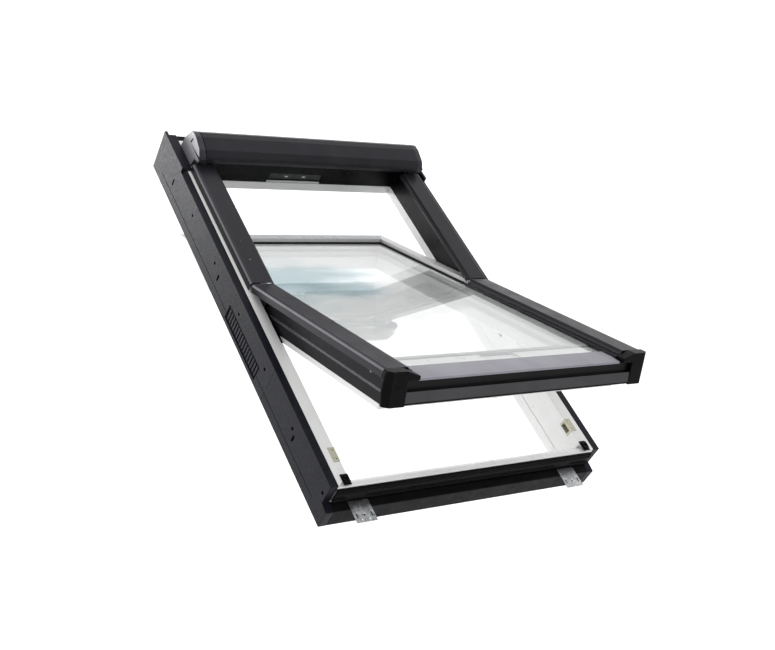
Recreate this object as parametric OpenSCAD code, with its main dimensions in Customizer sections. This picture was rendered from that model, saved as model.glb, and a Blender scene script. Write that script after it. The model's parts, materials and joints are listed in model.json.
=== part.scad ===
// Centre-pivot roof window with frame, insulation blocks, claddings and sash.
// X runs across the window, Y up the roof slope, Z out of the roof.
// Z = 0 is the underside of the four fixing brackets, the origin lies midway between them.

/* [Frame] */
// Overall width of the frame with its insulation blocks
frame_w = 780; // [620:10:1140]
// Overall length of the frame up the slope
frame_l = 1180; // [980:10:1420]
// Height of the frame top face above the roof battens
frame_rise = 56; // [52:1:70]
// Depth of the frame below the roof battens
frame_drop = 50; // [40:1:80]
// Thickness of the insulation blocks
block_t = 20; // [16:1:30]
// Width of the side rails of the frame
rail_w = 32; // [28:1:40]
// Width of the top rail of the frame
top_rail_w = 62; // [50:1:80]
// Thickness of the bottom rail of the frame
bottom_rail_w = 23; // [20:1:30]
// How far the frame front steps back above the battens
front_step = 27; // [24:1:32]
// Wall left around the chambers in the plastic rails
wall = 3; // [2:0.5:4]
// Distance up the slope of the joint between upper and lower side blocks
block_joint_y = -240; // [-300:10:-120]

/* [Sash] */
// Height of the pivot axis and of the cladding tops above the frame top face
lid_rise = 24; // [22:1:30]
// Distance of the pivot axis up the slope from the frame centre
pivot_y = 10; // [-30:1:30]
// Angle at which the sash stands open
open_angle = 28.2; // [0:0.1:60]
// Gap between sash side and frame opening
side_gap = 4; // [3.5:0.5:6]
// Gap between sash ends and frame opening
end_gap = 8; // [6:1:12]
// Depth of the sash rails below the cladding tops
sash_depth = 104; // [92:1:110]
// Width of the sash side rails
sash_rail_w = 50; // [46:1:60]
// Width of the sash top rail
sash_top_w = 66; // [56:1:90]
// Width of the sash bottom rail
sash_bottom_w = 70; // [68:1:90]
// Height of the rail tops below the cladding tops
rail_recess = 8; // [7:0.5:10]

/* [Glass] */
// Depth of the outer glass face below the cladding tops
glass_recess = 19; // [18:0.5:20]
// Thickness of the outer pane
outer_pane_t = 4; // [3:0.5:5]
// Thickness of the inner pane
inner_pane_t = 4; // [3:0.5:6]
// Width of the gap between the panes
pane_gap = 16; // [12:1:16]
// Cover of the rails over the pane edges
glass_cover = 18; // [14:1:20]

/* [Claddings] */
// Sheet thickness of the claddings
sheet_t = 1.5; // [1:0.1:2]
// Distance of the cladding outer edge from the frame outer face
clad_inset = 29; // [27:1:32]
// Distance from the sash inner edge to the cladding inner edge
clad_back = 6; // [5:0.5:8]
// Gap between upper and lower claddings at the pivot
clad_gap = 5; // [3:0.5:8]
// Height of the hood above the cladding tops
hood_rise = 54; // [40:1:60]
// Width of each hood end cap
hood_cap_w = 20; // [16:1:40]

/* [Pivot] */
// Middle radius of the curved pivot track
track_r = 50; // [46:1:56]
// Width of the rib on the pivot track
track_rib = 8; // [6:1:10]
// Width of the pivot plates outside the rib
track_rim = 6; // [5:1:10]
// Depth of the pocket that each pivot plate sits in
pivot_pocket = 4; // [3:0.5:5]

/* [Lock] */
// Radius of the lock rods
rod_r = 4; // [3:0.5:5]
// Travel of the lock rods
rod_travel = 13; // [8:1:14]
// Depth of the lock rods below the cladding tops
rod_depth = 36; // [33:1:38]
// Length of the handle lever
lever_l = 115; // [90:5:130]

/* [Fixing brackets] */
// Width of a fixing bracket
bracket_w = 52; // [50:2:80]
// Sheet thickness of the brackets
bracket_t = 2; // [1.5:0.5:3]
// Reach of the brackets beyond the frame
bracket_reach = 36; // [34:1:60]
// Radius of the fixing screw holes in the brackets
bracket_hole_r = 3; // [2.5:0.5:4]

/* [Hidden] */

$fn = 48;
eps = 0.01;
// Running clearance of pins, rods and the pivot rib
run_c = 0.08;
// Clearance between faces that slide past each other
face_c = 0.3;

// Frame outline, seen from outside
half_w = frame_w / 2;
half_l = frame_l / 2;
block_in = half_w - block_t;          // inner face of the side blocks
opening_x = block_in - rail_w;        // half width of the frame opening
rail_top_y = half_l - block_t;        // outer face of the top rail
opening_top = rail_top_y - top_rail_w;
front_y = -half_l + front_step;       // outer face of the bottom rail
opening_bottom = front_y + bottom_rail_w;
lid_z = frame_rise + lid_rise;        // cladding tops and pivot axis
bottom_rise = frame_rise - 6;         // top face of the bottom rail

// Front of the frame
sill_gap = 2;                         // between bottom rail and sill profile
sill_t = 5;
sill_y = front_y - sill_gap - sill_t;

// Sash outline, measured from the pivot axis with the sash shut
sash_x = opening_x - side_gap;
sash_in = sash_x - sash_rail_w;
sash_top = opening_top - end_gap - pivot_y;
// The lower edge of the sash end swings past the bottom rail with 2 mm to spare
sash_bottom = -sqrt(pow(opening_bottom - pivot_y + 2, 2) - pow(sash_depth, 2));
light_top = sash_top - sash_top_w;
light_bottom = sash_bottom + sash_bottom_w;
front_s = -half_l - pivot_y;          // front of the sash apron
pane_x = sash_in + glass_cover;
pane_top = light_top + glass_cover;
pane_end = front_s + 36;              // the outer pane runs on over the bottom rail
step_end = light_bottom - glass_cover + 2;
rebate_c = 2;                         // between pane edge and rebate wall
outer_pane_z = -glass_recess;
spacer_z = outer_pane_z - outer_pane_t;
inner_pane_z = spacer_z - pane_gap;
seat_z = inner_pane_z - inner_pane_t - 1.5;
plate_z = spacer_z - 0.3;             // plate that carries the end of the outer pane
bottom_top_z = plate_z - sheet_t;     // top face of the sash bottom rail

// Outer radius of the pivot plates
track_disc_r = track_r + track_rib / 2 + track_rim;

// Claddings
clad_out = half_w - clad_inset;
clad_in = sash_in + clad_back;
clad_lip = lid_rise - 2.5;
apron_low = lid_rise + 52;             // lower edge of the apron under the cladding tops
clad_end = front_s + 25;              // the lower claddings end against the corner caps
strip_start = -40;                    // the black sash strip starts beside the pivot plates

// Pivot
pivot_c = 2;                          // between pivot plate and the pocket around it
track_plate_x = opening_x - 1.5;
track_back_x = opening_x + pivot_pocket;
shoe_front_x = track_plate_x - face_c;
shoe_back_x = sash_x - pivot_pocket;
rib_tip_x = shoe_front_x - 3.7;
track_run = 170;                      // length of the track's mounting strip
track_strip_h = 34;
disc_top = 3;                         // plates stay this far under the cladding tops

// Lock
lever_y = (light_bottom + sash_bottom) / 2;
gear_n = 12;
gear_pitch = 4 * rod_travel / gear_n;
gear_r = gear_pitch * gear_n / (2 * PI);
tooth_root = 0.29 * gear_pitch;       // half widths of a tooth
tooth_mid = 0.185 * gear_pitch;
tooth_tip = 0.105 * gear_pitch;
tooth_high = 0.21 * gear_pitch;       // height above and below the pitch line
tooth_low = 0.36 * gear_pitch;
rack_n = 7;
rack_back = 3.5;                      // plain strip behind the rack teeth
rack_start = -4.5 * gear_pitch;
rack_t = 5;
rod_y = lever_y + gear_r + 1.7;
case_x = 50;
rose_t = 3.5;
lever_t = 9;
lever_top = -sash_depth - rose_t - face_c;
rod_x = 30;                           // inner end of the round rods
case_wall = 3;
case_d = 30;
striker_l = 38;
striker_w = 14;
striker_h = 20;
striker_y = pivot_y + rod_y;

// Covers inside the frame's upper half
cover_low = -24;                      // their lower edge
keeper_x = 84;
keeper_z = cover_low + 12;
keeper_h = 20;

// Brackets
bracket_x = opening_x - bracket_w / 2 - 9;
hole_y = half_l + bracket_reach / 2;
bracket_seat = half_l - 12;           // face of the top block that the top brackets sit on

// Screws
screw_r = 2;
screw_head_r = 3.8;
screw_c = 0.05;                       // around a screw in its hole
bracket_screw_z = 14;
block_screw_z = 20;
strip_screw_z = -27;
block_bore = 12;                      // depth of the screw head bores in the side blocks
head_bore_r = 4.4;
side_screws = [for (i = [0 : 5]) half_l - 276 - 173 * i];
strip_screws_y = [-193, -344, -495];
slot_y = [half_l - 130, half_l - 485, 196 - half_l];

// ---- helpers ----

function unit(v) = v / norm(v);
function turn(v) = [-v.y, v.x];
function side(p, i) = turn(unit(p[i + 1] - p[i]));
function mitre(p, i) =
    i == 0 ? side(p, 0) :
    i == len(p) - 1 ? side(p, i - 1) :
    (side(p, i - 1) + side(p, i)) / (1 + side(p, i - 1) * side(p, i));

// Bent sheet in section: path p is its outer face, the sheet lies to the right of the path
module sheet(p, t) {
    polygon(concat(p, [for (i = [len(p) - 1 : -1 : 0]) p[i] - t * mitre(p, i)]));
}

// Section drawn in X and Z, run along Y
module run_y(y0, y1) {
    translate([0, y1, 0]) rotate([90, 0, 0]) linear_extrude(y1 - y0) children();
}

// Section drawn in Y and Z, run along X
module run_x(x0, x1) {
    translate([x0, 0, 0]) rotate([90, 0, 90]) linear_extrude(x1 - x0) children();
}

module box(a, b) {
    translate(a) cube(b - a);
}

// Right-hand shape, or its mirror image on the left
module handed(left) {
    mirror([left ? 1 : 0, 0, 0]) children();
}

// Lifts sash parts, drawn shut around the pivot axis, to where they stand
module in_sash() {
    translate([0, pivot_y, lid_z]) rotate([-open_angle, 0, 0]) children();
}

// Round bar or bore along X
module bar_x(x0, x1, y, z, r) {
    translate([x0, y, z]) rotate([0, 90, 0]) cylinder(h = x1 - x0, r = r);
}

// Chambers of a plastic rail between two heights, split by webs
module chambers(a, b, z0, z1, n) {
    h = (z1 - z0 - (n - 1) * wall) / n;
    for (i = [0 : n - 1]) translate([a, z0 + i * (h + wall)]) square([b - a, h]);
}

// Part of a disc about the pivot axis, below the given height
module pivot_disc(x0, x1, r, top) {
    difference() {
        bar_x(x0, x1, 0, 0, r);
        box([x0 - 1, -r - 1, -top], [x1 + 1, r + 1, r + 1]);
    }
}

// ---- fixed frame ----

module frame_plan_side() {
    polygon([[opening_x, opening_bottom], [block_in, front_y],
             [block_in, rail_top_y], [opening_x, opening_top]]);
}

module frame_side_section() {
    groove_z = -23;
    difference() {
        translate([opening_x, -frame_drop]) square([rail_w, frame_rise + frame_drop]);
        chambers(opening_x + pivot_pocket + wall, block_in - wall,
                 wall - frame_drop, frame_rise - 26, 3);
        translate([opening_x - eps, groove_z]) square([1.5, 5]);
    }
}

module frame_rail(left) {
    color("whitesmoke") handed(left) difference() {
        intersection() {
            run_y(front_y, rail_top_y) frame_side_section();
            translate([0, 0, -frame_drop]) linear_extrude(frame_rise + frame_drop)
                frame_plan_side();
        }
        translate([0, pivot_y, lid_z])
            bar_x(opening_x - 1, track_back_x, 0, 0, track_disc_r + pivot_c);
        box([opening_x - 1, pivot_y - track_run, frame_rise - track_strip_h - pivot_c],
            [track_back_x, pivot_y, frame_rise + 1]);
        striker_pocket(0.2);
        for (y = side_screws)
            bar_x(block_in - 12, block_in + 1, y, block_screw_z, screw_r + screw_c);
    }
}

module frame_plan_end(outer, inner) {
    polygon([[-block_in, outer], [block_in, outer], [opening_x, inner], [-opening_x, inner]]);
}

module frame_top_section() {
    difference() {
        translate([opening_top + 4, -frame_drop])
            square([top_rail_w - 4, frame_rise + frame_drop]);
        chambers(opening_top + 4 + wall, rail_top_y - wall, wall - frame_drop,
                 frame_rise - wall, 4);
    }
    translate([opening_top, -frame_drop]) square([4 + eps, 26]);
}

module frame_rail_top() {
    color("whitesmoke") difference() {
        intersection() {
            run_x(-block_in, block_in) frame_top_section();
            translate([0, 0, -frame_drop]) linear_extrude(frame_rise + frame_drop)
                frame_plan_end(rail_top_y, opening_top);
        }
        for (s = [-1, 1])
            translate([s * bracket_x, rail_top_y - 12, bracket_screw_z]) rotate([-90, 0, 0])
            cylinder(h = 13, r = screw_r + screw_c);
    }
}

module frame_bottom_section() {
    lean = 13;
    difference() {
        polygon([[front_y, -frame_drop], [opening_bottom, -frame_drop],
                 [opening_bottom, bottom_rise - lean], [opening_bottom - lean, bottom_rise],
                 [front_y, bottom_rise]]);
        chambers(front_y + wall, opening_bottom - wall, wall - frame_drop,
                 bottom_rise - lean - wall, 4);
    }
}

module frame_rail_bottom() {
    color("whitesmoke") difference() {
        intersection() {
            run_x(-block_in, block_in) frame_bottom_section();
            translate([0, 0, -frame_drop]) linear_extrude(frame_rise + frame_drop)
                frame_plan_end(front_y, opening_bottom);
        }
        for (s = [-1, 1])
            translate([s * bracket_x, front_y - 1, bracket_screw_z]) rotate([-90, 0, 0])
            cylinder(h = 13, r = screw_r + screw_c);
    }
}

// Side block outline in Y and Z; its end steps in above the battens
module side_block_outline() {
    polygon([[-half_l, -frame_drop], [half_l, -frame_drop], [half_l, frame_rise],
             [front_y - 1, frame_rise], [front_y - 1, 2], [-half_l, -1]]);
}

module block_details() {
    recess = 4;
    for (y = side_screws) {
        bar_x(half_w - block_bore, half_w + 1, y, block_screw_z, head_bore_r);
        bar_x(block_in - 1, half_w, y, block_screw_z, screw_r + screw_c);
    }
    for (y = slot_y) box([half_w - 8, y - 3, -4], [half_w + 1, y + 3, 14]);
    // Long shallow channel, and a plain ribbed panel
    box([half_w - 1, -half_l + 60, -24], [half_w + 1, half_l - 60, -22]);
    difference() {
        box([half_w - recess, -186, -39], [half_w + 1, 15, 3]);
        for (y = [-180 : 12 : 8]) box([half_w - recess - 1, y, -34], [half_w - 1.5, y + 7, -2]);
    }
}

module side_block(left, upper) {
    rim_t = 8;
    rim_l = 150;
    color([0.22, 0.22, 0.25]) handed(left) difference() {
        union() {
            run_x(block_in, half_w) intersection() {
                side_block_outline();
                translate([upper ? block_joint_y : -frame_l, -frame_l])
                    square([upper ? 2 * frame_l : frame_l + block_joint_y, 2 * frame_l]);
            }
            if (upper) {
                box([half_w - rim_t, half_l - rim_l, frame_rise - eps],
                    [half_w, half_l, frame_rise + 14]);
                box([clad_out + 1, half_l - rim_l + 6, frame_rise], [half_w, half_l, frame_rise + 3]);
                box([clad_out - 6 + face_c, hood_y + 12, frame_rise],
                    [half_w, half_l, frame_rise + 3]);
            }
        }
        block_details();
    }
}

module block_top() {
    color([0.2, 0.2, 0.22]) difference() {
        box([-block_in, rail_top_y, -frame_drop], [block_in, half_l, frame_rise]);
        for (s = [-1, 1]) {
            box([s * bracket_x - bracket_w / 2 - 1, bracket_seat, -1],
                [s * bracket_x + bracket_w / 2 + 1, half_l + 1, 26]);
            translate([s * bracket_x, rail_top_y - 1, bracket_screw_z]) rotate([-90, 0, 0])
                cylinder(h = block_t, r = screw_r + screw_c);
        }
    }
}

module block_bottom() {
    color([0.2, 0.2, 0.21])
        box([-block_in, -half_l, -frame_drop], [block_in, front_y, 0]);
}

// Stepped black profile that closes the frame front
module sill_profile() {
    y = sill_y;
    top = bottom_rise - 5;
    color([0.15, 0.15, 0.16]) difference() {
        run_x(-block_in, block_in) difference() {
            polygon([[front_y, top], [y + 3, top], [y + 3, top - 12], [y, top - 15],
                     [y, 12], [y - 2, 10], [y - 2, 5], [y + 2, 5], [y + 2, 8],
                     [front_y - sill_gap, 8], [front_y - sill_gap, top - 4], [front_y, top - 4]]);
        }
        for (s = [-1, 1])
            box([s * bracket_x - bracket_w / 2 - 1, y - 3, -1],
                [s * bracket_x + bracket_w / 2 + 1, y + 1.5, 9]);
    }
}

module sill_gasket() {
    y = sill_y + 3;
    top = bottom_rise - 5;
    color([0.1, 0.1, 0.1]) run_x(-block_in + 1, block_in - 1) {
        polygon([[y, top - 2], [y - 3, top - 3], [y - 3, top - 5], [y, top - 6]]);
        polygon([[y, top - 6], [y - 4, top - 8], [y - 4, top - 10], [y, top - 11]]);
    }
}

module corner_block(left) {
    l = 28;
    h = 7;
    w = clad_out - 4 - opening_x;
    y = opening_bottom + 4;
    color([0.08, 0.08, 0.08]) handed(left) translate([opening_x, y - l, frame_rise]) difference() {
        union() {
            cube([w, l, 2.5]);
            translate([3, 4, 0]) cube([w - 6, l - 9, h]);
        }
        translate([w / 2, l / 2, 3]) cylinder(h = h, r = 4);
    }
}

// ---- fixed claddings and hood ----

function clad_path(depth) = [
    [clad_in + 5, -13], [clad_in + 5, -7], [clad_in + 11, -7], [clad_in + 13, 0],
    [clad_out - 7, 0], [clad_out - 2, -2], [clad_out, -6], [clad_out, -depth]
];

module cladding_upper(left) {
    y0 = pivot_y + clad_gap / 2;
    y1 = hood_y + 10;
    color([0.3, 0.3, 0.31]) translate([0, 0, lid_z]) handed(left) difference() {
        run_y(y0, y1) {
            sheet(clad_path(lid_rise), sheet_t);
            translate([opening_x + pivot_pocket + 3, -lid_rise])
                square([sheet_t, lid_rise - sheet_t / 2]);
        }
        for (y = [y0 + 80, y0 + 145]) translate([clad_out - 28, y, -3]) cylinder(h = 4, r = 1.8);
    }
}

hood_y = half_l - 154;
function hood_path() = [
    [half_l - 15, 2 - lid_rise], [half_l - 40, 2 - lid_rise], [hood_y + 106, 14], [hood_y + 86, hood_rise - 7],
    [hood_y + 72, hood_rise], [hood_y + 54, hood_rise], [hood_y + 16, hood_rise - 11],
    [hood_y + 3, hood_rise - 24], [hood_y, hood_rise - 32], [hood_y + 1, 12], [hood_y + 14, 9]
];

module hood() {
    x = clad_out - 6 - hood_cap_w;
    color([0.31, 0.31, 0.33]) translate([0, 0, lid_z]) mirror([1, 0, 0])
        run_x(-x, x) sheet([for (i = [10 : -1 : 0]) hood_path()[i]], 2);
}

module hood_cap(left) {
    x = clad_out - 6;
    p = hood_path();
    color([0.45, 0.45, 0.47]) translate([0, 0, lid_z]) handed(left) {
        difference() {
            run_x(x - hood_cap_w + 0.5, x)
                polygon(concat([for (i = [1 : 9]) p[i]], [[hood_y + 22, 4], [hood_y + 30, -lid_rise]]));
            run_x(x - hood_cap_w, x - 3)
                polygon([[half_l - 44, 4 - lid_rise], [hood_y + 100, 12], [hood_y + 80, hood_rise - 11],
                         [hood_y + 56, hood_rise - 4], [hood_y + 20, hood_rise - 14],
                         [hood_y + 5, 18], [hood_y + 26, 6], [hood_y + 34, 4 - lid_rise]]);
            // Clear of the sash side below the cladding tops
            run_x(x - hood_cap_w, opening_x + 2)
                translate([hood_y, -lid_rise - 1]) square([half_l - hood_y, lid_rise - 2]);
            // Slot in the outer cheek
            translate([0, hood_y + 66, hood_rise - 22]) rotate([20, 0, 0])
                box([x - 4, -2.5, -9], [x + 1, 2.5, 9]);
        }
    }
}

// Black cover of the top rail, notched at its lower edge, with a window for the keeper
module top_cover() {
    difference() {
        color([0.1, 0.1, 0.1])
            box([-opening_x + 1, opening_top, cover_low], [opening_x - 1, opening_top + 4, frame_rise]);
        box([-keeper_x - 3, opening_top - 1, cover_low - 1],
            [keeper_x + 3, opening_top + 5, cover_low + 8]);
        box([-keeper_x, opening_top - 1, keeper_z], [keeper_x, opening_top + 5, keeper_z + keeper_h]);
    }
}

module top_keeper() {
    c = 0.5;
    color("gray") difference() {
        union() {
            box([c - keeper_x, opening_top + 2, keeper_z + c],
                [keeper_x - c, opening_top + 4, keeper_z + keeper_h - c]);
            for (x = [-50, 0, 50]) translate([x, opening_top + 2, keeper_z + 9]) rotate([90, 0, 0])
                cylinder(h = 1.5, r = 4.5);
        }
        for (x = [-34, 22]) box([x, opening_top + 1, keeper_z + 6],
                                [x + 12, opening_top + 5, keeper_z + 12]);
    }
}

// Black cover on the upper half of the frame's inner side
module side_cover(left) {
    color([0.1, 0.1, 0.1]) handed(left)
        box([track_plate_x, pivot_y + track_disc_r + pivot_c, cover_low],
            [opening_x, opening_top - 0.5, frame_rise]);
}

// ---- fittings on the frame ----

module striker_pocket(c) {
    translate([opening_x, striker_y, frame_rise]) {
        box([-1, -striker_l / 2 - c, -striker_h - c], [striker_w + c, striker_l / 2 + c, 1]);
    }
}

module striker(left) {
    plate = 1;
    color([0.62, 0.62, 0.58]) handed(left) translate([opening_x, striker_y, frame_rise])
        difference() {
            union() {
                box([0, -striker_l / 2, -striker_h], [striker_w, striker_l / 2, 0]);
                box([0, -striker_l / 2, 0], [striker_w + 3, striker_l / 2, plate]);
            }
            for (s = [-1, 1]) translate([striker_w / 2, s * 12, -4]) cylinder(h = 6, r = 2);
            box([-1, -13, lid_rise - rod_depth - rod_r - 2.5],
                [striker_w - 1, 13, lid_rise - rod_depth + rod_r + 2.5]);
        }
}

// Bracket drawn for the front edge, its upright leg on the rail face y
module bracket_shape(y, up) {
    reach = half_l + bracket_reach + y;
    slot_r = 2;
    difference() {
        union() {
            box([-bracket_w / 2, y - reach, 0], [bracket_w / 2, y, bracket_t]);
            box([-bracket_w / 2, y - bracket_t, 0], [bracket_w / 2, y, up]);
        }
        translate([0, -hole_y, -1]) cylinder(h = bracket_t + 2, r = bracket_hole_r);
        for (s = [-1, 1]) {
            for (k = [-5, 5]) translate([s * 19, -hole_y + k, -1])
                cylinder(h = bracket_t + 2, r = slot_r);
            box([s * 19 - slot_r, -hole_y - 5, -1], [s * 19 + slot_r, -hole_y + 5, bracket_t + 1]);
            translate([s * 10, -hole_y + 12, -1]) cylinder(h = bracket_t + 2, r = slot_r);
            translate([s * 10, -hole_y - 11, -1]) cylinder(h = bracket_t + 2, r = slot_r);
        }
        translate([0, y + 1, bracket_screw_z]) rotate([90, 0, 0])
            cylinder(h = bracket_t + 2, r = screw_r + screw_c);
    }
}

module bracket(left, top) {
    color("gainsboro") handed(left) translate([bracket_x, 0, 0])
        mirror([0, top ? 1 : 0, 0]) bracket_shape(top ? -bracket_seat : front_y, 24);
}

module bracket_screws() {
    color("lightgray") for (s = [-1, 1]) translate([s * bracket_x, 0, bracket_screw_z]) {
        translate([0, front_y - bracket_t, 0]) rotate([-90, 0, 0])
            cylinder(h = bracket_t + 11, r = screw_r);
        translate([0, bracket_seat + bracket_t, 0]) rotate([90, 0, 0])
            cylinder(h = bracket_seat - rail_top_y + bracket_t + 10, r = screw_r);
        translate([0, bracket_seat + bracket_t, 0]) rotate([-90, 0, 0])
            cylinder(h = 2, r = screw_head_r);
    }
}

module block_screws() {
    color("dimgray") for (s = [0, 1], y = side_screws) handed(s == 1) {
        bar_x(half_w - block_bore, half_w - block_bore + 2.5, y, block_screw_z, screw_head_r);
        bar_x(block_in - 11, half_w - block_bore + eps, y, block_screw_z, screw_r);
    }
}

module pivot_track(left) {
    color([0.12, 0.12, 0.13]) handed(left) translate([0, pivot_y, lid_z]) {
        difference() {
            union() {
                pivot_disc(track_plate_x, track_back_x, track_disc_r, disc_top);
                box([track_plate_x, -track_run + pivot_c, -lid_rise - track_strip_h],
                    [track_back_x, -20, -lid_rise]);
            }
            for (y = [-154, -128, -98, -74])
                bar_x(track_plate_x - 1, track_back_x + 1, y, -lid_rise - 12, 2.2);
        }
        difference() {
            pivot_disc(rib_tip_x, track_plate_x + eps, track_r + track_rib / 2, disc_top);
            bar_x(rib_tip_x - 1, track_plate_x - eps, 0, 0, track_r - track_rib / 2);
        }
    }
}

// ---- sash ----

module sash_side_section() {
    t = wall;
    difference() {
        polygon([[pane_x + rebate_c, -rail_recess], [sash_x, -rail_recess],
                 [sash_x, -sash_depth], [sash_in + 6, -sash_depth],
                 [sash_in, 6 - sash_depth], [sash_in, seat_z - 3],
                 [sash_in + 3, seat_z], [pane_x + rebate_c, seat_z]]);
        translate([pane_x + rebate_c + t, seat_z + 2 * t])
            square([sash_x - pane_x - rebate_c - 2 * t - pivot_pocket, -seat_z - rail_recess - 3 * t]);
        chambers(sash_in + 2 * t, sash_x - t - pivot_pocket, 2 * t - sash_depth, seat_z - 2 * t, 2);
    }
}

module sash_rail(left) {
    color("white") in_sash() handed(left) difference() {
        intersection() {
            run_y(sash_bottom, sash_top) sash_side_section();
            translate([0, 0, -sash_depth]) linear_extrude(sash_depth)
                polygon([[sash_in, light_bottom], [sash_x, sash_bottom],
                         [sash_x, sash_top], [sash_in, light_top]]);
        }
        bar_x(shoe_back_x, sash_x + 1, 0, 0, track_disc_r + pivot_c);
        bar_x(sash_in, sash_x + 1, rod_y, -rod_depth, rod_r + run_c);
        for (y = strip_screws_y)
            bar_x(sash_x - 12, sash_x + 1, y, strip_screw_z, screw_r + screw_c);
    }
}

module sash_rail_top() {
    edge = pane_top + rebate_c;
    color("white") in_sash() intersection() {
        run_x(-sash_x, sash_x) difference() {
            polygon([[edge, -rail_recess], [sash_top, -rail_recess], [sash_top, -sash_depth],
                     [light_top + 6, -sash_depth], [light_top, 6 - sash_depth],
                     [light_top, seat_z - 3], [light_top + 3, seat_z], [edge, seat_z]]);
            chambers(edge + wall, sash_top - wall, seat_z + 2 * wall, -rail_recess - wall, 1);
            chambers(light_top + 2 * wall, sash_top - wall, 2 * wall - sash_depth,
                     seat_z - 2 * wall, 2);
        }
        translate([0, 0, -sash_depth]) linear_extrude(sash_depth)
            polygon([[-sash_x, sash_top], [sash_x, sash_top],
                     [sash_in, light_top], [-sash_in, light_top]]);
    }
}

module sash_rail_bottom() {
    edge = step_end - rebate_c;
    color("white") in_sash() difference() {
        intersection() {
            run_x(-sash_x, sash_x) difference() {
                polygon([[sash_bottom, bottom_top_z], [edge, bottom_top_z], [edge, seat_z],
                         [light_bottom - 3, seat_z], [light_bottom, seat_z - 3],
                         [light_bottom, 6 - sash_depth], [light_bottom - 6, -sash_depth],
                         [sash_bottom, -sash_depth]]);
                chambers(sash_bottom + wall, light_bottom - 2 * wall, 2 * wall - sash_depth,
                         -case_d - 42, 1);
            }
            translate([0, 0, -sash_depth]) linear_extrude(sash_depth)
                polygon([[-sash_x, sash_bottom], [sash_x, sash_bottom],
                         [sash_in, light_bottom], [-sash_in, light_bottom]]);
        }
        bar_x(-sash_x, sash_x, rod_y, -rod_depth, rod_r + run_c);
        box([-case_x, lever_y - 21, -30 - case_d], [case_x, edge + 1, 0]);
        translate([0, lever_y, -sash_depth - 1]) cylinder(h = sash_depth, r = rod_r + run_c);
        for (s = [-1, 1]) translate([s * 22, lever_y, -sash_depth - 1]) cylinder(h = 12, r = screw_r);
    }
}

// Black strip on the sash side: a carrier under the cladding and a cheek over the rail
module sash_strip(left) {
    cheek_low = -91;
    step_low = -60;
    x = sash_x + 2;
    color([0.13, 0.13, 0.15]) in_sash() handed(left) difference() {
        run_y(clad_end, strip_start) polygon([
            [sash_x - 24, -rail_recess], [sash_x - 24, -sheet_t], [x, -sheet_t],
            [x, -26], [x - 1, -28], [x - 1, step_low + 1], [x, step_low],
            [x, step_low - 4], [x - 0.6, step_low - 6], [x - 0.6, cheek_low],
            [sash_x, cheek_low], [sash_x, -rail_recess]]);
        for (y = strip_screws_y)
            bar_x(sash_x - 1, sash_x + 3, y, strip_screw_z, screw_r + screw_c);
        bar_x(sash_x - 1, sash_x + 3, rod_y, -rod_depth, rod_r + 0.5);
        box([sash_x + 1, clad_end + 4, -30], [sash_x + 3, clad_end + 20, -20]);
        // Clear of the pivot plates
        bar_x(sash_x - 25, sash_x + 3, 0, 0, track_disc_r + pivot_c + 1);
        // Past the rail end only the upper part runs on, over the frame's bottom rail
        box([sash_x - 25, clad_end - 1, -rail_recess - 1], [sash_x, sash_bottom, -3]);
        box([sash_x - 1, clad_end - 1, cheek_low - 1], [sash_x + 3, sash_bottom - 4, -26]);
    }
}

module strip_screws() {
    color("dimgray") in_sash() for (s = [0, 1], y = strip_screws_y) handed(s == 1)
        bar_x(sash_x - 11, sash_x + 1.6, y, strip_screw_z, screw_r);
}

function lower_path() = [
    [clad_in - 5, outer_pane_z + 0.2], [clad_in - 5, -13], [clad_in + 2, -13], [clad_in + 2, -7],
    [clad_in + 9, -7], [clad_in + 13, 0], [clad_out - 7, 0], [clad_out - 2, -2],
    [clad_out, -6], [clad_out, -clad_lip]
];

module cladding_lower(left) {
    color([0.36, 0.36, 0.37]) in_sash() handed(left)
        run_y(clad_end, -clad_gap / 2) sheet(lower_path(), sheet_t);
}

// Plate under the glass end, drip step and apron in one bent sheet
module cladding_bottom() {
    p = [[pane_end - 2, plate_z], [pane_end - 4, outer_pane_z - 2], [front_s + 10, outer_pane_z - 3.5],
         [front_s + 10, -45], [front_s + 2, -45], [front_s, -apron_low + 3], [front_s + 12, -apron_low]];
    color([0.4, 0.4, 0.42]) in_sash() {
        run_x(-clad_in - 26, clad_in + 26) sheet([for (i = [6 : -1 : 0]) p[i]], sheet_t);
        box([-pane_x, pane_end - 3, plate_z - sheet_t], [pane_x, sash_bottom + 14, plate_z]);
    }
}

// Strip that covers the end of the outer pane and folds down over the bottom cladding
module pane_strip() {
    x = clad_in - 6;
    y = front_s + 10 - face_c - sheet_t;
    top = outer_pane_z + face_c + sheet_t;
    color([0.5, 0.5, 0.53]) in_sash() run_x(-x, x)
        sheet([[y, outer_pane_z - 6], [y, top - 3], [pane_end, top], [front_s + 70, top]], sheet_t);
}

module corner_cap(left) {
    x = clad_in + 26;
    wing_z = outer_pane_z - 1.8;
    color([0.12, 0.12, 0.13]) in_sash() handed(left) difference() {
        run_y(front_s - 1, clad_end) polygon([
            [clad_in - 3, -11], [x + 4, 0.6], [clad_out + 2, 0.6], [clad_out + 6, -8],
            [clad_out + 8, -45], [clad_out + 5, -apron_low], [x, -apron_low],
            [x, wing_z], [clad_in - 3, wing_z]]);
        // Slanted outer corner
        translate([0, 0, -apron_low - 1]) linear_extrude(apron_low + 3)
            polygon([[clad_out + 9, front_s - 2], [clad_out - 9, front_s - 2],
                     [clad_out + 9, front_s + 13]]);
        // Room for the frame front behind the cap
        box([x - 1, front_s + 17, -apron_low - 1], [clad_out + 9, clad_end + 1, wing_z]);
    }
}

module pane(x, y0, y1, z, t) {
    box([-x, y0, z - t], [x, y1, z]);
}

module outer_pane() {
    color([0.75, 0.85, 0.87, 0.5]) in_sash()
        pane(pane_x, pane_end, pane_top, outer_pane_z, outer_pane_t);
}

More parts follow.
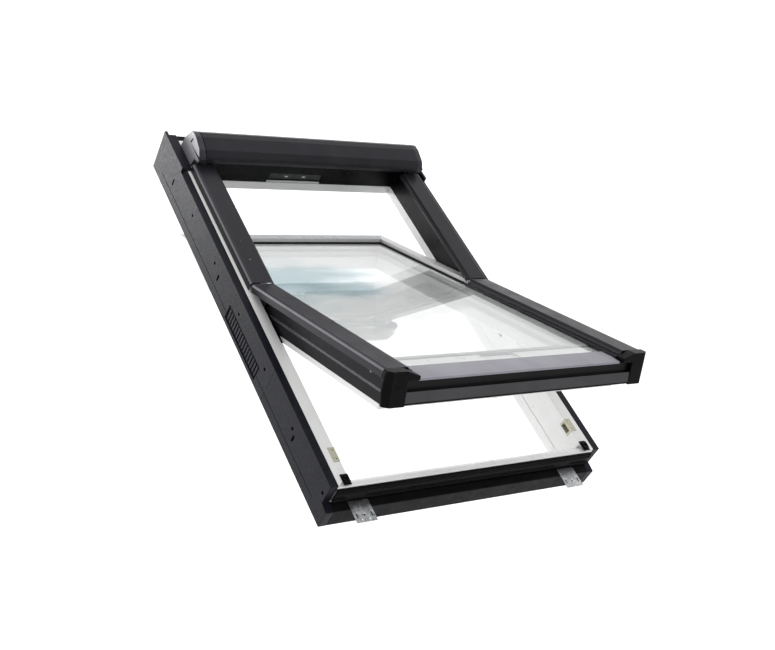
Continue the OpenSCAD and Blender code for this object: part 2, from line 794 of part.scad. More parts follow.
module inner_pane() {
    color([0.75, 0.85, 0.87, 0.5]) in_sash()
        pane(pane_x, step_end, pane_top, inner_pane_z, inner_pane_t);
}

// Rectangular ring around the glass
module ring(x, y0, y1, w, z, t) {
    difference() {
        pane(x, y0, y1, z, t);
        pane(x - w, y0 + w, y1 - w, z + 1, t + 2);
    }
}

module pane_spacer() {
    color([0.3, 0.3, 0.3]) in_sash() ring(pane_x - 2, step_end + 2, pane_top - 2, 12, spacer_z, pane_gap);
}

module inner_gasket() {
    color([0.12, 0.12, 0.12]) in_sash()
        ring(pane_x, step_end, pane_top, 12, inner_pane_z - inner_pane_t, 1.5);
}

// Glazing gasket on the sides and top of the outer pane
module glazing_gasket() {
    w = 11;
    h = 2;
    color([0.1, 0.1, 0.1]) in_sash() difference() {
        pane(pane_x + 1.5, pane_end + 1, pane_top + 1.5, outer_pane_z + h, h);
        pane(pane_x - w, pane_end, pane_top - w, outer_pane_z + h + 1, h + 2);
        // Cut away under the inner flange of the lower claddings
        for (s = [0, 1]) handed(s == 1)
            box([clad_in - 6, pane_end, outer_pane_z - 1], [clad_in - 3, 1, outer_pane_z + h + 1]);
    }
}

module pivot_shoe(left) {
    color([0.16, 0.16, 0.17]) in_sash() handed(left) difference() {
        pivot_disc(shoe_back_x, shoe_front_x, track_disc_r, disc_top);
        difference() {
            bar_x(rib_tip_x - face_c, shoe_front_x + 1, 0, 0, track_r + track_rib / 2 + run_c);
            bar_x(rib_tip_x - face_c - 1, shoe_front_x + 2, 0, 0, track_r - track_rib / 2 - run_c);
        }
        for (a = [-140, -90, -40]) bar_x(shoe_back_x - 1, shoe_front_x + 1,
                                         24 * cos(a), 24 * sin(a), 2.2);
    }
}

// ---- lock ----

module rack_tooth() {
    polygon([[-tooth_root, tooth_low], [-tooth_mid, 0], [-tooth_tip, -tooth_high],
             [tooth_tip, -tooth_high], [tooth_mid, 0], [tooth_root, tooth_low]]);
}

module gear_tooth() {
    translate([0, gear_r]) mirror([0, 1]) rack_tooth();
}

module gearbox_case() {
    low = -29 - case_d;
    color("silver") in_sash() difference() {
        box([-case_x + 0.5, lever_y - 20, low], [case_x - 0.5, step_end - rebate_c - 1, -29]);
        box([-case_x + case_wall, lever_y - 17, low + 18],
            [case_x - case_wall, step_end - rebate_c - 2, -31]);
        bar_x(-case_x - 1, case_x + 1, rod_y, -rod_depth, rod_r + run_c);
        translate([0, lever_y, low - 1]) cylinder(h = 25, r = rod_r + run_c);
    }
}

module handle_rose() {
    color("silver") in_sash() difference() {
        box([-32, lever_y - 14, -sash_depth - rose_t], [32, lever_y + 14, -sash_depth]);
        translate([0, lever_y, -sash_depth - rose_t - 1]) cylinder(h = rose_t + 2, r = rod_r + run_c);
    }
}

module handle_lever() {
    color("silver") in_sash() translate([0, lever_y, lever_top - lever_t]) difference() {
        union() {
            cylinder(h = lever_t, r = 11);
            translate([-8, 0, 0]) cube([16, lever_l, lever_t]);
            translate([0, lever_l, 0]) cylinder(h = lever_t, r = 10);
        }
        translate([0, 0, 2]) cylinder(h = lever_t, r = rod_r);
    }
}

module handle_spindle() {
    foot = lever_top - lever_t + 2;
    color("gray") in_sash() translate([0, lever_y, 0]) {
        translate([0, 0, foot]) cylinder(h = -rod_depth - foot, r = rod_r);
        translate([0, 0, -rod_depth - rack_t / 2]) linear_extrude(rack_t) {
            circle(r = gear_r - tooth_low + 0.15);
            for (i = [0 : gear_n - 1]) rotate(i * 360 / gear_n) gear_tooth();
        }
    }
}

// Rack in plan: teeth face -Y, pitch line on the X axis, its plain strip runs on to x1
module rack(x1) {
    for (i = [0 : rack_n - 1]) translate([rack_start + i * gear_pitch, 0]) rack_tooth();
    translate([rack_start - tooth_root, tooth_low - 0.15])
        square([x1 - rack_start + tooth_root, rack_back]);
}

module rod_bar() {
    bar_x(rod_x, sash_x, rod_y, -rod_depth, rod_r);
}

module lock_rod_right() {
    far = lever_y - gear_r;
    color("silver") in_sash() {
        rod_bar();
        translate([0, 0, -rod_depth - rack_t / 2]) linear_extrude(rack_t) {
            translate([0, far]) mirror([0, 1]) rack(rod_x - 4);
            translate([rod_x - 5, far - tooth_low + 0.15 - rack_back])
                square([8, rod_y - far + tooth_low + rack_back + rod_r - 1]);
        }
    }
}

module lock_rod_left() {
    color("silver") in_sash() mirror([1, 0, 0]) {
        rod_bar();
        translate([0, 0, -rod_depth - rack_t / 2]) linear_extrude(rack_t)
            translate([0, lever_y + gear_r]) rack(rod_x + 6);
    }
}

frame_rail(true);  // frame_rail_left
frame_rail(false);  // frame_rail_right
frame_rail_top();
frame_rail_bottom();
side_block(true, true);  // block_left_upper
side_block(true, false);  // block_left_lower
side_block(false, true);  // block_right_upper
side_block(false, false);  // block_right_lower
block_top();
block_bottom();
sill_profile();
sill_gasket();
cladding_upper(true);  // cladding_upper_left
cladding_upper(false);  // cladding_upper_right
hood();
hood_cap(true);  // hood_cap_left
hood_cap(false);  // hood_cap_right
top_cover();
top_keeper();
side_cover(true);  // side_cover_left
side_cover(false);  // side_cover_right
striker(true);  // striker_left
striker(false);  // striker_right
corner_block(true);  // corner_block_left
corner_block(false);  // corner_block_right
bracket(true, false);  // bracket_bottom_left
bracket(false, false);  // bracket_bottom_right
bracket(true, true);  // bracket_top_left
bracket(false, true);  // bracket_top_right
bracket_screws();
block_screws();
pivot_track(true);  // pivot_track_left
pivot_track(false);  // pivot_track_right
sash_rail(true);  // sash_rail_left
sash_rail(false);  // sash_rail_right
sash_rail_top();
sash_rail_bottom();
sash_strip(true);  // sash_strip_left
sash_strip(false);  // sash_strip_right
strip_screws();
cladding_lower(true);  // cladding_lower_left
cladding_lower(false);  // cladding_lower_right
cladding_bottom();
corner_cap(true);  // corner_cap_left
corner_cap(false);  // corner_cap_right
pane_strip();
outer_pane();
pane_spacer();
inner_pane();
glazing_gasket();
inner_gasket();
pivot_shoe(true);  // pivot_shoe_left
pivot_shoe(false);  // pivot_shoe_right
gearbox_case();
handle_rose();
handle_lever();
handle_spindle();
lock_rod_left();
lock_rod_right();
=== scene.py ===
"""Looks of the roof skylight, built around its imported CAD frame.

The CAD nodes stay where they are. Most are shown by a formed copy of their own mesh, with
rounded bends and broken edges, and every surface gets a procedural material.
"""
import json
import math

import bmesh
import bpy
from mathutils import Matrix, Vector


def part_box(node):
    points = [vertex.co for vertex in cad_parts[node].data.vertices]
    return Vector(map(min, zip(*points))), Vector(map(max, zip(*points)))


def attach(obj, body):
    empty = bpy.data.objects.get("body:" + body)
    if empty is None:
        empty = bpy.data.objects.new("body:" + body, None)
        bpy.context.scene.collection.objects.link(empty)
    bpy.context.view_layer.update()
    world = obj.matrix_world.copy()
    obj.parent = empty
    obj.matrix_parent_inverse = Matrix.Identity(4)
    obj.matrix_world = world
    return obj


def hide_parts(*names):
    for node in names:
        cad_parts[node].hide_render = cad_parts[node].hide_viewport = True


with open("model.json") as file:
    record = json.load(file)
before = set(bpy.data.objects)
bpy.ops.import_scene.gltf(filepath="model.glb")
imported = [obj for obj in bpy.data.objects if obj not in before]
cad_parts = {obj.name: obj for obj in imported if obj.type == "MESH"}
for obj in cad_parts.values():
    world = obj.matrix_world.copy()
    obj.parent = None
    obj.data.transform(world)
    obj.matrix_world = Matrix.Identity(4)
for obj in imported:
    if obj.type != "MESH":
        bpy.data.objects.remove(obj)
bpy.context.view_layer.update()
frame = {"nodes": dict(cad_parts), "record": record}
MM = 0.001

# ---- camera, first, as everything is judged from it ----

CAMERA_AT = Vector((-1.5822, -1.6252, 1.7513))
CAMERA_RIGHT = Vector((0.8232271, -0.4123523, 0.3902085))
CAMERA_UP = Vector((0.0406967, 0.7284306, 0.6839098))
LENS_MM = 51.45
SENSOR_MM = 36.0


def placed(name, data):
    """A new object of the scene that shows data."""
    made = bpy.data.objects.new(name, data)
    bpy.context.scene.collection.objects.link(made)
    return made


def make_camera():
    data = bpy.data.cameras.new("camera")
    data.sensor_width = SENSOR_MM
    data.lens = LENS_MM
    data.clip_end = 200
    camera = placed("camera", data)
    back = CAMERA_RIGHT.cross(CAMERA_UP)
    turned = Matrix((CAMERA_RIGHT, CAMERA_UP, back)).transposed()
    camera.matrix_world = Matrix.Translation(CAMERA_AT) @ turned.to_4x4()
    bpy.context.scene.camera = camera


make_camera()

# ---- the sash's own frame: shut, with its origin on the pivot axis ----

OPEN_ANGLE = -math.radians(frame["record"]["behaviour"]["joints"][0]["range_deg"][0])
PIVOT = Vector(frame["record"]["behaviour"]["joints"][0]["pos_m"])
TO_SASH = Matrix.Rotation(OPEN_ANGLE, 4, "X") @ Matrix.Translation(-PIVOT)

# ---- materials ----


def srgb(code):
    """Linear colour of a six-digit hex code."""
    parts = [int(code[i : i + 2], 16) / 255 for i in (0, 2, 4)]
    return [c / 12.92 if c <= 0.04045 else ((c + 0.055) / 1.055) ** 2.4 for c in parts]


class Finish:
    """A Principled material whose patterns are laid out in the row frame, in metres."""

    def __init__(self, name, **fixed):
        self.material = bpy.data.materials.new(name)
        self.material.use_nodes = True
        self.tree = self.material.node_tree
        self.shader = self.tree.nodes["Principled BSDF"]
        self.place = self.tree.nodes.new("ShaderNodeTexCoord").outputs["Object"]
        self.normal = None
        for socket, value in fixed.items():
            self.shader.inputs[socket.replace("_", " ")].default_value = value

    def node(self, kind, **values):
        made = self.tree.nodes.new("ShaderNode" + kind)
        for key, value in values.items():
            if key in made.inputs:
                made.inputs[key].default_value = value
            else:
                setattr(made, key, value)
        return made

    def stretched(self, scale):
        """The row frame's coordinates, scaled along each axis."""
        mapping = self.node("Mapping", Scale=scale)
        self.tree.links.new(self.place, mapping.inputs["Vector"])
        return mapping.outputs["Vector"]

    def noise(self, size_mm, detail=3.0, rough=0.5, stretch=None, offset=0.0):
        """Noise whose blobs are about size_mm across."""
        noise = self.node("TexNoise", Scale=1 / (size_mm * MM), Detail=detail, Roughness=rough)
        noise.noise_dimensions = "4D"
        noise.inputs["W"].default_value = offset
        place = self.stretched(stretch) if stretch else self.place
        self.tree.links.new(place, noise.inputs["Vector"])
        return noise.outputs["Fac"]

    def along(self, axis, in_sash=False):
        """Distance along an axis of the row frame, or of the sash's own frame, in metres."""
        place = self.place
        if in_sash:
            mapping = self.node("Mapping", Rotation=(OPEN_ANGLE, 0, 0),
                                Location=TO_SASH.translation)
            self.tree.links.new(place, mapping.inputs["Vector"])
            place = mapping.outputs["Vector"]
        split = self.node("SeparateXYZ")
        self.tree.links.new(place, split.inputs[0])
        return split.outputs[axis]

    def product(self, first, second):
        made = self.node("Math", operation="MULTIPLY")
        self.tree.links.new(first, made.inputs[0])
        self.tree.links.new(second, made.inputs[1])
        return made.outputs[0]

    def cells(self, size_mm):
        """A Voronoi pattern with cells about size_mm across."""
        cells = self.node("TexVoronoi", Scale=1 / (size_mm * MM))
        self.tree.links.new(self.place, cells.inputs["Vector"])
        return cells

    def ramp(self, value, stops):
        ramp = self.node("ValToRGB")
        points = ramp.color_ramp.elements
        while len(points) < len(stops):
            points.new(0.5)
        for point, (at, colour) in zip(points, stops):
            point.position = at
            point.color = (*colour, 1)
        self.tree.links.new(value, ramp.inputs["Fac"])
        return ramp.outputs["Color"]

    def spread(self, value, low, high, start=0.3, end=0.7):
        """value from start..end spread over low..high."""
        limits = {"From Min": start, "From Max": end, "To Min": low, "To Max": high}
        ranged = self.node("MapRange", **limits)
        self.tree.links.new(value, ranged.inputs["Value"])
        return ranged.outputs["Result"]

    def mixed(self, share, first, second):
        mix = self.node("Mix", data_type="RGBA")
        for index, value in ((0, share), (6, first), (7, second)):
            socket = mix.inputs[index]
            if isinstance(value, bpy.types.NodeSocket):
                self.tree.links.new(value, socket)
            else:
                socket.default_value = (*value, 1) if hasattr(value, "__len__") else value
        return mix.outputs[2]

    def colour(self, value):
        self.tree.links.new(value, self.shader.inputs["Base Color"])

    def roughness(self, value):
        self.tree.links.new(value, self.shader.inputs["Roughness"])

    def bump(self, value, depth_mm, strength=1.0):
        bump = self.node("Bump", Strength=strength, Distance=depth_mm * MM)
        self.tree.links.new(value, bump.inputs["Height"])
        if self.normal:
            self.tree.links.new(self.normal, bump.inputs["Normal"])
        self.normal = bump.outputs["Normal"]
        self.tree.links.new(self.normal, self.shader.inputs["Normal"])


def plain_mottled(name, dark, light, mottle_mm, rough, grain_mm, grain_depth, **fixed):
    """A plastic or coated finish: slight mottling, uneven gloss and a fine grain."""
    made = Finish(name, **fixed)
    blobs = made.noise(mottle_mm, 4.0)
    made.colour(made.ramp(blobs, [(0.3, srgb(dark)), (0.7, srgb(light))]))
    made.roughness(made.spread(made.noise(mottle_mm * 0.4, 3.0, offset=3.0), *rough))
    made.bump(made.noise(grain_mm, 2.0, offset=7.0), grain_depth)
    return made


def white_plastic():
    made = plain_mottled("white_plastic", "e3e4e3", "e9e9e8", 60, (0.26, 0.34), 2.2, 0.01)
    made.bump(made.noise(140, 1.0, stretch=(1, 0.2, 1)), 0.05, 0.3)
    return made.material


def block_foam():
    """Moulded insulation: beads that show faintly through the skin, with paler scuffs."""
    made = Finish("block_foam", IOR=1.2)
    beads = made.cells(3.4)
    skin = made.ramp(made.noise(45, 4.0), [(0.3, srgb("16171f")), (0.7, srgb("1f202a"))])
    edge = made.spread(beads.outputs["Distance"], 0.0, 1.0, 0.0, 0.8)
    shade = made.mixed(edge, skin, srgb("111219"))
    scuffs = made.noise(2.6, 5.0, 0.7, stretch=(1, 0.35, 1), offset=9.0)
    made.colour(made.mixed(made.spread(scuffs, 0.0, 0.5, 0.60, 0.72), shade, srgb("3c3e4b")))
    made.roughness(made.spread(made.noise(6, 4.0, offset=2.0), 0.34, 0.52))
    made.bump(beads.outputs["Distance"], 0.10, 0.6)
    made.bump(made.noise(0.9, 2.0), 0.03, 0.7)
    return made.material


def block_black():
    return plain_mottled("block_black", "0d0d0f", "161618", 40, (0.46, 0.62), 1.2, 0.05,
                         IOR=1.15).material


HEM_SHADE_BLUR = 0.0004  # height over which the painted shade below the hem fades out, in metres


def coated_sheet(name, dark, light, flake, rough=(0.28, 0.40), shade_below_hem=None):
    """Coated aluminium sheet with a fine, slightly metallic grain, and painted shade below the hem
    if asked for.
    """
    made = Finish(name, IOR=1.24)
    blobs = made.noise(70, 3.0, stretch=(1, 0.25, 1))
    base = made.ramp(blobs, [(0.3, srgb(dark)), (0.7, srgb(light))])
    shade = made.mixed(made.spread(made.noise(0.7, 1.0), 0.0, 0.3, 0.55, 0.8), base, srgb(flake))
    # Painted shade: near black below the hem line.
    if shade_below_hem is not None:
        hem = made.spread(made.along("Z", in_sash=True), 1.0, 0.0, shade_below_hem - HEM_SHADE_BLUR, shade_below_hem)
        shade = made.mixed(hem, shade, srgb("0b0b0d"))
    made.colour(shade)
    made.roughness(made.spread(made.noise(25, 3.0, stretch=(1, 0.2, 1), offset=4.0), *rough))
    made.bump(made.noise(1.3, 2.0, offset=5.0), 0.015, 0.6)
    return made.material


def black_plastic():
    return plain_mottled("black_plastic", "070708", "0e0e10", 35, (0.26, 0.40), 1.0, 0.03,
                         IOR=1.16).material


def gasket():
    return plain_mottled("gasket", "040405", "09090a", 12, (0.5, 0.66), 0.8, 0.03, IOR=1.2).material


def pane():
    """Clear glass with a faint painted reflection of a cloud bank."""
    made = Finish("pane", Roughness=0.0, IOR=1.38, Transmission_Weight=1.0)
    # The cloud bank is a painted reflection, fainter low on the pane and towards the right.
    cloud_reflection = made.noise(420, 4.0, 0.55, stretch=(0.8, 1.7, 1.0), offset=1.6)
    up_slope = made.spread(made.along("Y", in_sash=True), 0.55, 1.0, -0.45, -0.33)
    leftward = made.spread(made.along("X"), 1.0, 0.6, -0.02, 0.16)
    cloud_reflection = made.product(cloud_reflection, made.product(up_slope, leftward))
    clear = srgb("fbfcfc")
    made.colour(made.ramp(cloud_reflection, [(0.45, clear), (0.52, srgb("e7eef0")), (0.58, srgb("c3d3d8")),
                                  (0.66, srgb("a1b6bc"))]))
    return made.material


def inner_pane():
    made = Finish("inner_pane", Roughness=0.0, IOR=1.38, Transmission_Weight=1.0)
    made.colour(made.ramp(made.noise(300, 2.0), [(0.3, srgb("fafcfb")), (0.7, srgb("fdfdfd"))]))
    return made.material


def metal(name, dark, light, spangle_mm, rough):
    """Bare or zinc-coated steel with faint crystals."""
    made = Finish(name, Metallic=1.0)
    crystals = made.cells(spangle_mm)
    made.colour(made.ramp(crystals.outputs["Color"], [(0.2, srgb(dark)), (0.8, srgb(light))]))
    made.roughness(made.spread(made.noise(spangle_mm * 2, 3.0), *rough))
    made.bump(made.noise(spangle_mm * 0.5, 2.0), 0.02, 0.5)
    return made.material


# Heights in the sash's own frame, from the pivot axis, in metres
APRON_TOP_Z = -0.0455
APRON_HEM_Z = -0.0685
APRON_END_Z = -0.0715

WHITE, FOAM, BLACK_BLOCK = white_plastic(), block_foam(), block_black()
SHEET = coated_sheet("grey_sheet", "212025", "28272c", "48474d")
# Paler copy of the grey sheet: a painted highlight on the lips of the side claddings.
LIP_HIGHLIGHT_SHEET = coated_sheet("lip_highlight_sheet", "65646b", "727178", "86858c")
APRON = coated_sheet("apron_sheet", "3c3c3e", "444446", "626264", shade_below_hem=APRON_HEM_Z)
# Paler copy of the grey sheet for the pane strip: a painted reflection.
PANE_STRIP_REFLECTION = coated_sheet("pane_strip_reflection", "83828a", "8e8d95", "9d9ca3", (0.30, 0.42))
RAIL_COVER = coated_sheet("rail_cover", "b4b7bb", "c0c3c7", "cccfd2", (0.24, 0.34))
# Near-black copy of the sheet, put on recessed faces of the bottom cladding as painted shade.
SHADE_BLACK_SHEET = coated_sheet("black_sheet_painted_shade", "09090b", "101012", "1c1c20")
HOOD_END = plain_mottled("hood_end", "29282d", "323136", 50, (0.30, 0.42), 1.5, 0.03,
                         IOR=1.35).material
# Pale copy of the hood end's finish: a painted highlight on the flat outer cheek of each cap.
CHEEK_HIGHLIGHT = plain_mottled("hood_cheek_highlight", "86858b", "929197", 50, (0.30, 0.42), 1.5, 0.03).material
STRIP = plain_mottled("strip_plastic", "0f0f13", "17171b", 35, (0.28, 0.40), 1.0, 0.03,
                      IOR=1.18).material
# Lighter black for a painted highlight along the strip's rib.
RIB_HIGHLIGHT = plain_mottled("black_rib_highlight", "2c2c32", "36363c", 30, (0.22, 0.32), 1.0, 0.02).material
LIGHT_GASKET = plain_mottled("light_gasket", "dededc", "e6e6e4", 20, (0.5, 0.62), 1.0,
                             0.02).material
BLACK, RUBBER = black_plastic(), gasket()
GLASS, INNER_GLASS = pane(), inner_pane()
SPACER = plain_mottled("spacer_bar", "e2e3e3", "eaebeb", 20, (0.35, 0.5), 1.0, 0.02).material
KEEPER = plain_mottled("keeper_metal", "2c2f30", "3d4142", 9, (0.34, 0.5), 0.8, 0.03,
                       Metallic=0.6).material
ZINC_CAST = plain_mottled("striker_zinc", "b4b09c", "c2bfae", 14, (0.38, 0.5), 1.0, 0.03,
                          Metallic=0.5).material
GALVANISED = metal("galvanised", "9c9ea1", "c6c8ca", 5.0, (0.28, 0.42))
STEEL = metal("steel", "8e8f92", "a4a5a8", 2.0, (0.3, 0.42))
SCREW = metal("screw_steel", "4a4b4e", "66676a", 1.5, (0.32, 0.45))
ALLOY = metal("handle_alloy", "b9babd", "cacbcd", 1.2, (0.26, 0.36))

# ---- formed copies of the CAD nodes ----

SHARP = math.radians(28)  # edges over this angle stay sharp in the shading
LEAST_BEND = math.radians(14)  # edges over this angle are rounded as bends
FLAT = math.radians(0.3)  # faces within this angle are one face
WELD = 1e-6  # vertices nearer than this are one vertex, in metres
ROOM_PER_BEVEL = 2.3  # least width of a face beside a bevel, in bevel sizes


def face_width(face):
    return face.calc_area() / max(edge.calc_length() for edge in face.edges)


def break_edges(mesh, size, steps, least_angle):
    """Rounds every edge sharper than least_angle whose two faces are wide enough for it."""
    room = ROOM_PER_BEVEL * size
    edges = [
        e
        for e in mesh.edges
        if len(e.link_faces) == 2
        and e.calc_face_angle(0) > least_angle
        and min(face_width(f) for f in e.link_faces) > room
    ]
    if edges:
        bmesh.ops.bevel(mesh, geom=edges, offset=size, offset_type="OFFSET", segments=steps,
                        profile=0.5, affect="EDGES", clamp_overlap=True)


CLAD_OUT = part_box("cladding_upper_right")[1][0]
STRIP_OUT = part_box("sash_strip_right")[1][0]
CAP_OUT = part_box("hood_cap_right")[1][0]

# Spans and heights below are in the sash's own frame, from the pivot axis, in metres.
# Span of the painted highlight on the cladding lips.
LIP_Z = (-0.0068, -0.0006)
LIP_REACH = 0.0024
RIB_Z = (-0.0655, -0.0585)
RIB_REACH = 0.0015
POCKET_Y = (-0.574, -0.552)
POCKET_Z = (-0.0305, -0.0195)
SKIN = 0.0005  # how far inside an outer face still counts as that face
RAIL_COVER_Z = -0.0083
CASE_FILM_Z = -0.0305


def within(value, span):
    return span[0] < value < span[1]


def sash_middle(face):
    """Middle of a face in the sash's own frame, mirrored to the right-hand side."""
    middle = TO_SASH @ face.calc_center_median()
    return Vector((abs(middle.x), middle.y, middle.z))


def ledge_in_painted_shade(face):
    """Painted shade on the bottom cladding: all above the apron is black, and so is all below its
    hem.
    """
    z = sash_middle(face).z
    return SHADE_BLACK_SHEET if z > APRON_TOP_Z or z < APRON_END_Z else None


def lip_highlight(middle):
    """The painted highlight on the lip of a side cladding, for a face whose middle is given from
    the pivot.
    """
    on_lip = abs(middle.x) > CLAD_OUT - LIP_REACH and within(middle.z, LIP_Z)
    return LIP_HIGHLIGHT_SHEET if on_lip else None


def lower_lip_highlight(face):
    return lip_highlight(sash_middle(face))


def upper_lip_highlight(face):
    return lip_highlight(face.calc_center_median() - PIVOT)


def strip_details(face):
    """The rib along the strip gets a painted highlight, and the pocket near its end gets painted
    shade in the deepest black.
    """
    middle = sash_middle(face)
    if within(middle.z, RIB_Z) and middle.x > STRIP_OUT - RIB_REACH:
        return RIB_HIGHLIGHT
    # Painted shade: the faces inside the pocket take the darkest black.
    in_pocket = within(middle.y, POCKET_Y) and within(middle.z, POCKET_Z)
    return RUBBER if in_pocket and middle.x < STRIP_OUT - SKIN else None


# The flat outer cheek of each hood cap gets a painted highlight.
def cheek_highlight(face):
    return CHEEK_HIGHLIGHT if abs(face.calc_center_median().x) > CAP_OUT - SKIN else None


def rail_top_is_covered(face):
    """A grey strip covers the top of the sash's top rail."""
    return RAIL_COVER if sash_middle(face).z > RAIL_COVER_Z else None


def case_top_is_white(face):
    """The gearbox is covered by a white film under the glass edge."""
    return WHITE if sash_middle(face).z > CASE_FILM_Z else None


PAINTED = {
    "cladding_bottom": ledge_in_painted_shade,
    "cladding_lower_left": lower_lip_highlight,
    "cladding_lower_right": lower_lip_highlight,
    "cladding_upper_left": upper_lip_highlight,
    "cladding_upper_right": upper_lip_highlight,
    "sash_strip_left": strip_details,
    "sash_strip_right": strip_details,
    "hood_cap_left": cheek_highlight,
    "hood_cap_right": cheek_highlight,
    "gearbox_case": case_top_is_white,
    "sash_rail_top": rail_top_is_covered,
}


def paint_faces(mesh, data, choose):
    """Gives the faces that choose picks a material of their own."""
    for face in mesh.faces:
        picked = choose(face)
        if picked:
            if picked.name not in data.materials:
                data.materials.append(picked)
            face.material_index = data.materials.find(picked.name)


def formed(node, body, material, bend_mm, edge_mm=0.25):
    """A copy of a CAD node with rounded bends and broken edges, shown in its place."""
    mesh = bmesh.new()
    mesh.from_mesh(frame["nodes"][node].data)
    bmesh.ops.remove_doubles(mesh, verts=mesh.verts, dist=WELD)
    bmesh.ops.dissolve_limit(mesh, angle_limit=FLAT, verts=mesh.verts, edges=mesh.edges)
    if bend_mm:
        break_edges(mesh, bend_mm * MM, 3, LEAST_BEND)
    break_edges(mesh, edge_mm * MM, 1, SHARP)
    data = bpy.data.meshes.new(node + "_formed")
    data.materials.append(material)
    if node in PAINTED:
        paint_faces(mesh, data, PAINTED[node])
    mesh.to_mesh(data)
    mesh.free()
    data.shade_smooth()
    data.set_sharp_from_angle(angle=SHARP)
    piece = placed(node + "_formed", data)
    normals = piece.modifiers.new("normals", "WEIGHTED_NORMAL")
    normals.keep_sharp = True
    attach(piece, body)
    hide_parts(node)


# Name starts: (material, radius of the bends in mm)
LOOKS = {
    "frame_rail": (WHITE, 1.2),
    "sash_rail": (WHITE, 1.5),
    "block_left": (FOAM, 1.6),
    "block_right": (FOAM, 1.6),
    "block_top": (BLACK_BLOCK, 1.6),
    "block_bottom": (BLACK_BLOCK, 1.6),
    "block_screws": (SCREW, 0),
    "sill_profile": (BLACK, 0.8),
    "sill_gasket": (RUBBER, 0.4),
    "cladding_": (SHEET, 1.6),
    "cladding_bottom": (APRON, 1.2),
    "pane_strip": (PANE_STRIP_REFLECTION, 1.0),
    "hood_cap": (HOOD_END, 7.0),
    "hood": (SHEET, 3.5),
    "top_cover": (BLACK, 0.8),
    "top_keeper": (KEEPER, 0),
    "side_cover": (BLACK, 0.8),
    "striker": (ZINC_CAST, 0.4),
    "corner_block": (BLACK, 0.8),
    "bracket_screws": (SCREW, 0),
    "bracket_": (GALVANISED, 0),
    "pivot_": (BLACK, 0.6),
    "sash_strip": (STRIP, 0.5),
    "strip_screws": (SCREW, 0),
    "corner_cap": (BLACK, 2.0),
    "outer_pane": (GLASS, 0),
    "inner_pane": (INNER_GLASS, 0),
    "pane_spacer": (SPACER, 0),
    "glazing_gasket": (RUBBER, 0),
    "inner_gasket": (LIGHT_GASKET, 0),
    "gearbox_case": (STEEL, 0.6),
    "handle_rose": (ALLOY, 1.5),
    "handle_lever": (ALLOY, 2.5),
    "handle_spindle": (STEEL, 0),
    "lock_rod": (STEEL, 0),
}


def look_of(node):
    """The longest name start that fits the node."""
    return LOOKS[max((start for start in LOOKS if node.startswith(start)), key=len)]


BODIES = {
    node: body
    for body, nodes in frame["record"]["behaviour"]["bodies"].items()
    for node in nodes
}

for node, cad in frame["nodes"].items():
    material, bend = look_of(node)
    cad.data.materials.clear()
    cad.data.materials.append(material)
    if bend:
        formed(node, BODIES[node], material, bend)

# ---- small parts that the CAD leaves plain ----

STRIP_SCREWS_Y = (-0.193, -0.344, -0.495)
STRIP_SCREW_Z = -0.027
WASHER_RADIUS = 0.0044
WASHER_HOLE = 0.0024
WASHER_HEIGHT = 0.0008
WASHER_SUNK = 0.0004
WASHER_STEPS = 24


def washer(name):
    """A dished ring round a screw head, its axis along X."""
    mesh = bmesh.new()
    profile = (
        (WASHER_HOLE, WASHER_HEIGHT * 0.2),
        (WASHER_HOLE * 1.5, WASHER_HEIGHT * 0.5),
        (WASHER_RADIUS * 0.80, WASHER_HEIGHT),
        (WASHER_RADIUS, WASHER_HEIGHT * 0.75),
        (WASHER_RADIUS, 0),
        (WASHER_HOLE, 0),
    )
    turns = [2 * math.pi * i / WASHER_STEPS for i in range(WASHER_STEPS)]
    rings = [
        [mesh.verts.new((x, radius * math.cos(a), radius * math.sin(a))) for a in turns]
        for radius, x in profile
    ]
    for inner, outer in zip(rings, rings[1:] + rings[:1]):
        for i in range(WASHER_STEPS):
            j = (i + 1) % WASHER_STEPS
            mesh.faces.new((inner[i], inner[j], outer[j], outer[i]))
    bmesh.ops.recalc_face_normals(mesh, faces=mesh.faces)
    data = bpy.data.meshes.new(name)
    mesh.to_mesh(data)
    mesh.free()
    data.shade_smooth()
    data.set_sharp_from_angle(angle=SHARP)
    return data


def strip_washers():
    to_frame = TO_SASH.inverted()
    for side, sign in (("left", -1), ("right", 1)):
        for number, y in enumerate(STRIP_SCREWS_Y, 1):
            name = f"strip_washer_{side}_{number}"
            data = washer(name)
            data.materials.append(RUBBER)
            spot = Matrix.Translation((sign * (STRIP_OUT - WASHER_SUNK), y, STRIP_SCREW_Z))
            data.transform(to_frame @ spot @ Matrix.Scale(sign, 4, (1, 0, 0)))
            if sign < 0:
                data.flip_normals()
            piece = placed(name, data)
            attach(piece, "sash")


strip_washers()

# ---- floor and light ----

FLOOR_Z = -1.3


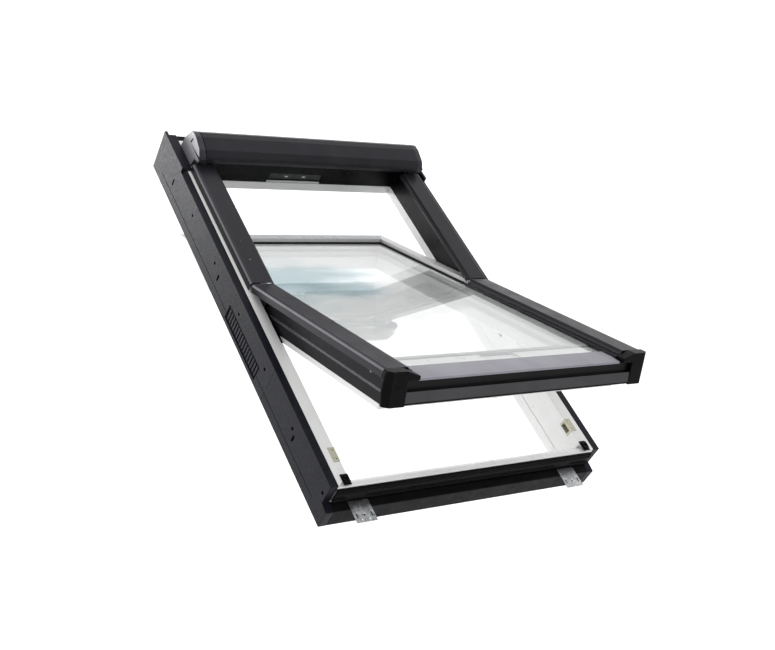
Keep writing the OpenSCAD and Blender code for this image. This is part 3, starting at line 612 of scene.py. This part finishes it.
def make_floor():
    half = 40
    data = bpy.data.meshes.new("floor")
    corners = [(-half, -half), (half, -half), (half, half), (-half, half)]
    data.from_pydata([(x, y, FLOOR_Z) for x, y in corners], [], [(0, 1, 2, 3)])
    paint = Finish("floor_paint", Roughness=0.9, Specular_IOR_Level=0.0, Emission_Strength=0.3,
                   Emission_Color=(1, 1, 1, 1))
    paint.colour(paint.ramp(paint.noise(900, 2.0), [(0.3, srgb("f4f4f4")), (0.7, srgb("f8f8f8"))]))
    data.materials.append(paint.material)
    floor = placed("floor", data)


def make_world(strength, toward, tones):
    """A pale studio, brightest in the direction toward; tones are grey levels by its cosine."""
    world = bpy.data.worlds.new("studio")
    world.use_nodes = True
    nodes, links = world.node_tree.nodes, world.node_tree.links
    facing = nodes.new("ShaderNodeVectorMath")
    facing.operation = "DOT_PRODUCT"
    facing.inputs[1].default_value = Vector(toward).normalized()
    links.new(nodes.new("ShaderNodeTexCoord").outputs["Generated"], facing.inputs[0])
    share = nodes.new("ShaderNodeMapRange")
    share.inputs["From Min"].default_value = -1
    links.new(facing.outputs["Value"], share.inputs["Value"])
    ramp = nodes.new("ShaderNodeValToRGB")
    points = ramp.color_ramp.elements
    while len(points) < len(tones):
        points.new(0.5)
    for point, (cosine, grey) in zip(points, tones):
        point.position = (cosine + 1) / 2
        point.color = (grey, grey, grey, 1)
    links.new(share.outputs["Result"], ramp.inputs["Fac"])
    background = nodes["Background"]
    background.inputs["Strength"].default_value = strength
    links.new(ramp.outputs["Color"], background.inputs["Color"])
    bpy.context.scene.world = world


def soft_light(name, at, aim, size, power):
    """A square soft box of the given side, aimed at a point."""
    data = bpy.data.lights.new(name, "AREA")
    data.shape = "SQUARE"
    data.size = size
    data.energy = power
    light = placed(name, data)
    light.location = at
    light.rotation_euler = (Vector(aim) - Vector(at)).to_track_quat("-Z", "Y").to_euler()
    light.visible_camera = False


make_floor()
make_world(1.1, (0.45, 0.6, 0.7), [(-0.9, 0.40), (-0.2, 0.50), (0.4, 0.82), (0.9, 1.0)])
soft_light("key", (-0.6, 3.2, 3.2), (0, 0, 0.1), 3.0, 60)
soft_light("block_side", (-1.25, 1.95, -1.05), (-0.39, 0.45, 0.0), 1.6, 36)
soft_light("front", (0.0, -3.2, 0.4), (0, 0.4, 0.0), 2.0, 16)
bpy.context.scene.view_settings.view_transform = "Standard"
